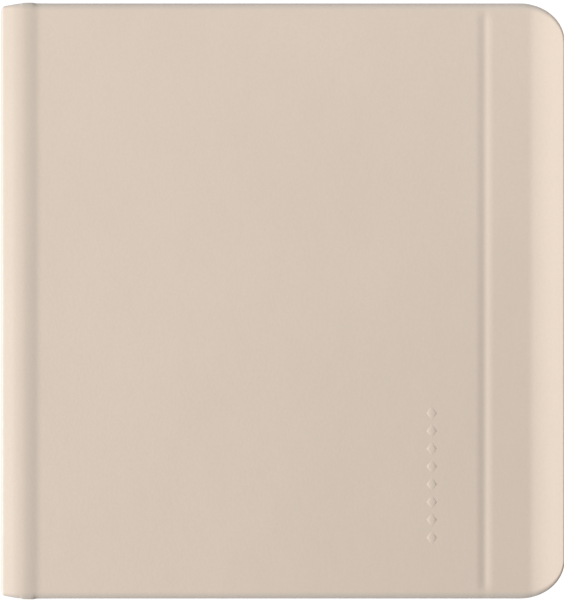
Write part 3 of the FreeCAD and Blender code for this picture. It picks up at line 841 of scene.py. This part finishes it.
def clear(name, tint, rough, cover):
    """A thin clear layer with a fine etch and a trace of smudging. cover is how much it hides."""
    finish = Finish(name)
    etch = finish.noise(6000.0, 2.0)
    smudge = finish.noise(70.0, 4.0)
    finish.colour(finish.mix(finish.span(smudge, 0.4, 0.7, 0.0, 0.2), tint, (0.4, 0.4, 0.39)))
    finish.roughness(finish.span(smudge, 0.3, 0.7, rough, rough + 0.08))
    finish.set(Alpha=cover, Specular_IOR_Level=0.5)
    finish.bumps([(etch, 0.1, 0.000005)])
    return finish.material


def board(name):
    """Grey-brown greyboard with flecks of fibre."""
    finish = Finish(name)
    fibre = finish.noise(1800.0, 5.0, 0.7, (1.0, 0.4, 1.0))
    finish.colour(finish.mix(finish.span(fibre, 0.35, 0.65), (0.24, 0.2, 0.15), (0.33, 0.28, 0.21)))
    finish.roughness(finish.span(fibre, 0.3, 0.7, 0.85, 0.95))
    finish.bumps([(fibre, 0.4, 0.00008)])
    return finish.material


def circuit(name):
    """Green solder mask with faint lines of copper under it."""
    finish = Finish(name)
    tracks = finish.noise(420.0, 1.0, 0.3, (1.0, 0.12, 1.0))
    finish.colour(finish.mix(finish.span(tracks, 0.48, 0.52), (0.01, 0.09, 0.045), (0.02, 0.15, 0.07)))
    finish.roughness(finish.span(tracks, 0.4, 0.6, 0.3, 0.4))
    finish.bumps([(tracks, 0.3, 0.00002)])
    return finish.material


# How each slot is finished: a material function, then what it takes after the name.
FINISHES = {
    "leather": (leather,),
    "board": (board,),
    "tray_plastic": (plastic, (0.44, 0.37, 0.305), (0.41, 0.345, 0.285), 0.55),
    "microfibre": (microfibre, (0.36, 0.315, 0.27), (0.27, 0.235, 0.2)),
    "reader_case": (plastic, (0.022, 0.022, 0.024), (0.016, 0.016, 0.018), 0.48),
    "button_plastic": (plastic, (0.03, 0.03, 0.032), (0.024, 0.024, 0.026), 0.36),
    "seal_rubber": (plastic, (0.02, 0.02, 0.02), (0.015, 0.015, 0.015), 0.7),
    "screen_film": (clear, (0.5, 0.5, 0.49), 0.3, 0.2),
    "touch_glass": (clear, (0.6, 0.61, 0.61), 0.1, 0.08),
    "clear_plastic": (clear, (0.6, 0.6, 0.6), 0.1, 0.08),
    "eink": (eink,),
    "flex_film": (plastic, (0.35, 0.13, 0.03), (0.3, 0.1, 0.02), 0.4),
    "led_white": (plastic, (0.75, 0.75, 0.7), (0.7, 0.68, 0.6), 0.4),
    "chassis_metal": (metal, (0.55, 0.55, 0.56), (0.48, 0.48, 0.49), 0.35, (1, 0.08, 1)),
    "magnet": (metal, (0.6, 0.6, 0.6), (0.5, 0.5, 0.5), 0.25, (1, 1, 1)),
    "steel": (metal, (0.6, 0.59, 0.57), (0.5, 0.5, 0.5), 0.3, (1, 0.3, 1)),
    "battery_foil": (plastic, (0.35, 0.35, 0.36), (0.28, 0.28, 0.3), 0.35),
    "circuit_board": (circuit,),
    "chip_black": (plastic, (0.02, 0.02, 0.022), (0.015, 0.015, 0.016), 0.5),
    "copper": (metal, (0.75, 0.4, 0.25), (0.6, 0.3, 0.18), 0.3, (1, 0.3, 1)),
}


def dress_frame():
    """Gives every CAD node its finish by the slot its material is named for."""
    made = {}
    for node in frame["nodes"].values():
        for place in node.material_slots:
            slot = place.material.name.split(".")[0] if place.material else "reader_case"
            if slot not in made:
                make, *values = FINISHES[slot]
                made[slot] = make(slot, *values)
            place.material = made[slot]
    return made


# ---- build the folio -----------------------------------------------------------------------------------
def build_folio(skin_material, lining_material):
    front = ruled_skin("front_skin", front_columns(), skin_material, (0, 0, 1))
    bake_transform(front)
    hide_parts("front_leather", "spine_leather", "fold_strip_front")

    mark = front_mark("front_mark", skin_material)
    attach(mark, "cover")

    groove = ruled_skin("groove_skin", groove_columns(), skin_material, (0, 0, 1))
    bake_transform(groove)
    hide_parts("groove_strip")

    flap = flap_skin("flap_skin", skin_material)
    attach(flap, "flap")
    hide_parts("flap_leather")

    back = back_skin("back_skin", skin_material)
    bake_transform(back)
    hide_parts("back_leather", "fold_strip_back")

    behind = lining_sheet("back_lining_sheet", back_lining_columns(), lining_material, (0, 0, 1))
    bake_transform(behind)

    inside = lining_sheet("front_lining_sheet", front_lining_columns(), lining_material, (0, 0, -1))
    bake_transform(inside)
    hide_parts("front_lining", "spine_lining")

    steps = 10
    under_groove = [
        (STRIP_X0 + (STRIP_X1 - STRIP_X0) * i / steps, PANEL_LOW_Z - LINING_T, 0.0, TOP - LINING_INSET)
        for i in range(steps + 1)
    ]
    groove_lining = lining_sheet("groove_lining_sheet", under_groove, lining_material, (0, 0, -1))
    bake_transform(groove_lining)

    flap_inside = flap_lining_sheet("flap_lining_sheet", lining_material, STRIP_X1)
    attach(flap_inside, "flap")
    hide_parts("flap_lining")


# ---- stage, light and camera ---------------------------------------------------------------------------
def build_floor():
    """A white floor that gives its own light, just under the folio's back."""
    half = 12.0
    z = -0.0003
    mesh = bpy.data.meshes.new("floor")
    corners = [(-half, -half, z), (half, -half, z), (half, half, z), (-half, half, z)]
    mesh.from_pydata(corners, [], [(0, 1, 2, 3)])
    floor = bpy.data.objects.new("floor", mesh)
    bpy.context.scene.collection.objects.link(floor)
    finish = Finish("floor_white")
    finish.set(Base_Color=(0.05, 0.05, 0.05, 1), Roughness=1.0, Specular_IOR_Level=0.0)
    finish.set(Emission_Color=(1, 1, 1, 1), Emission_Strength=1.0)
    mesh.materials.append(finish.material)


def area_light(name, place, target, side, watts, colour=(1, 1, 1)):
    """A square lamp at a place, turned towards a target."""
    data = bpy.data.lights.new(name, "AREA")
    data.shape = "RECTANGLE"
    data.size = side
    data.size_y = side
    data.energy = watts
    data.color = colour
    lamp = bpy.data.objects.new(name, data)
    lamp.location = place
    lamp.rotation_euler = (Vector(target) - Vector(place)).to_track_quat("-Z", "Y").to_euler()
    bpy.context.scene.collection.objects.link(lamp)


def build_light():
    world = bpy.data.worlds.new("studio")
    world.use_nodes = True
    sky = world.node_tree.nodes["Background"]
    sky.inputs["Color"].default_value = (0.97, 0.985, 1.0, 1)
    sky.inputs["Strength"].default_value = 0.29
    bpy.context.scene.world = world
    key_place = (-1.75, -0.2, 0.84)
    area_light("key", key_place, target=(0, 0, 0), side=0.8, watts=82.0, colour=(1.0, 0.995, 0.985))
    area_light("overhead", (0.26, 0.42, 0.5), target=(0.04, 0.06, 0), side=0.3, watts=1.9)


def build_camera():
    data = bpy.data.cameras.new("camera")
    data.sensor_width = 36.0
    data.lens = 72.8
    data.clip_start = 0.01
    data.clip_end = 50.0
    camera = bpy.data.objects.new("camera", data)
    camera.location = (0.0, 0.00028, 0.355)
    bpy.context.scene.collection.objects.link(camera)
    bpy.context.scene.camera = camera
    bpy.context.scene.view_settings.view_transform = "Standard"


made = dress_frame()
build_folio(made["leather"], made["microfibre"])
build_floor()
build_light()
build_camera()
